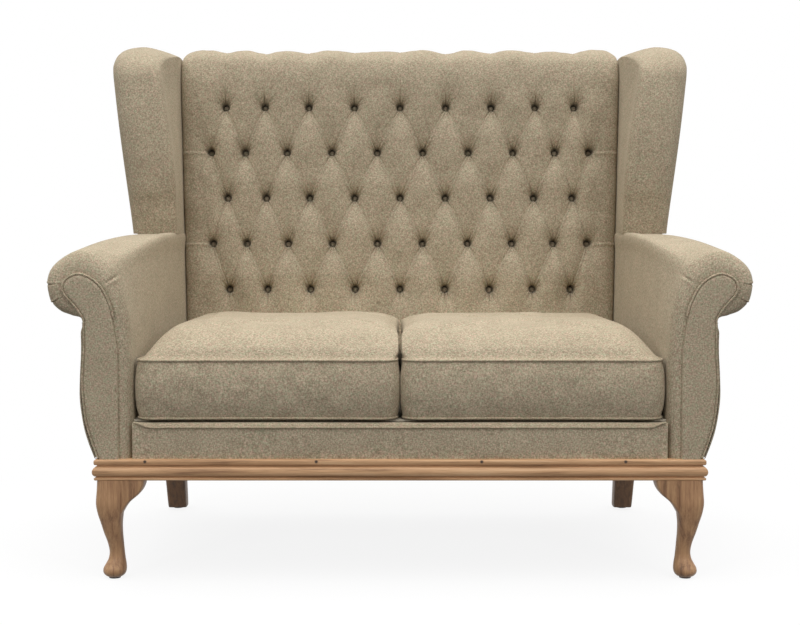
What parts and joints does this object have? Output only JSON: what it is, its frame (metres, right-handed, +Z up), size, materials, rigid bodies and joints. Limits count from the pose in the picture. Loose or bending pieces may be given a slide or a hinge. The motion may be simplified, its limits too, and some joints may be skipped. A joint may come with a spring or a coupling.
{
  "type": "high back settee",
  "caption": "Two-seat high back settee with a deep-buttoned raked back, wings, scroll arms, loose piped seat cushions, a moulded wood plinth and cabriole front legs.",
  "frame": {"origin": "on the floor, under the middle of the settee's overall box", "axes": "+X to the viewer's right, -Y out of the front of the seat, +Z up; left and right in the names are the viewer's"},
  "size_m": [1.446, 0.85, 1.1578],
  "materials": {
    "cover_fabric": "beige wool tweed",
    "show_wood": "waxed oak",
    "frame_wood": "sawn beech",
    "foam": "foam",
    "felt": "felt",
    "webbing": "jute webbing",
    "dust_cloth": "black cambric",
    "steel": "bright wire",
    "glide_plastic": "moulded",
    "zip_tape": "woven tape"
  },
  "bodies": {
    "frame": {"front_leg_left": "show_wood", "front_leg_right": "show_wood", "knee_ears_left": "show_wood", "knee_ears_right": "show_wood", "rear_leg_left": "show_wood", "rear_leg_right": "show_wood", "glides": "glide_plastic", "leg_bolts": "steel", "corner_blocks": "frame_wood", "plinth_front": "show_wood", "plinth_left": "show_wood", "plinth_right": "show_wood", "plinth_back": "show_wood", "dust_cover": "dust_cloth", "seat_rail_front": "frame_wood", "seat_rail_back": "frame_wood", "seat_rail_left": "frame_wood", "seat_rail_right": "frame_wood", "seat_rail_centre": "frame_wood", "seat_springs": "steel", "spring_clips": "steel", "seat_platform": "felt", "front_border": "cover_fabric", "border_piping": "cover_fabric", "arm_post_left": "frame_wood", "arm_post_right": "frame_wood", "arm_rail_left": "frame_wood", "arm_rail_right": "frame_wood", "tacking_rail_left": "frame_wood", "tacking_rail_right": "frame_wood", "arm_pad_left": "cover_fabric", "arm_pad_right": "cover_fabric", "arm_facing_left": "cover_fabric", "arm_facing_right": "cover_fabric", "facing_piping_left": "cover_fabric", "facing_piping_right": "cover_fabric", "outside_arm_left": "cover_fabric", "outside_arm_right": "cover_fabric", "wing_board_left": "frame_wood", "wing_board_right": "frame_wood", "wing_pad_left": "cover_fabric", "wing_pad_right": "cover_fabric", "back_post_left": "frame_wood", "back_post_right": "frame_wood", "back_upright": "frame_wood", "crest_rail": "frame_wood", "back_rail_lower": "frame_wood", "back_webbing": "webbing", "back_pad": "cover_fabric", "back_buttons": "cover_fabric", "outside_back": "cover_fabric"},
    "cushion_left": {"cushion_cover_left": "cover_fabric", "cushion_core_left": "foam", "cushion_piping_left": "cover_fabric", "cushion_zip_left": "zip_tape"},
    "cushion_right": {"cushion_cover_right": "cover_fabric", "cushion_core_right": "foam", "cushion_piping_right": "cover_fabric", "cushion_zip_right": "zip_tape"}
  },
  "joints": [
    {"name": "cushion_left_lift", "type": "slide", "parent": "frame", "child": "cushion_left", "axis": [0, 0, 1], "range_m": [0, 0.3]},
    {"name": "cushion_right_lift", "type": "slide", "parent": "frame", "child": "cushion_right", "axis": [0, 0, 1], "range_m": [0, 0.3]}
  ]
}
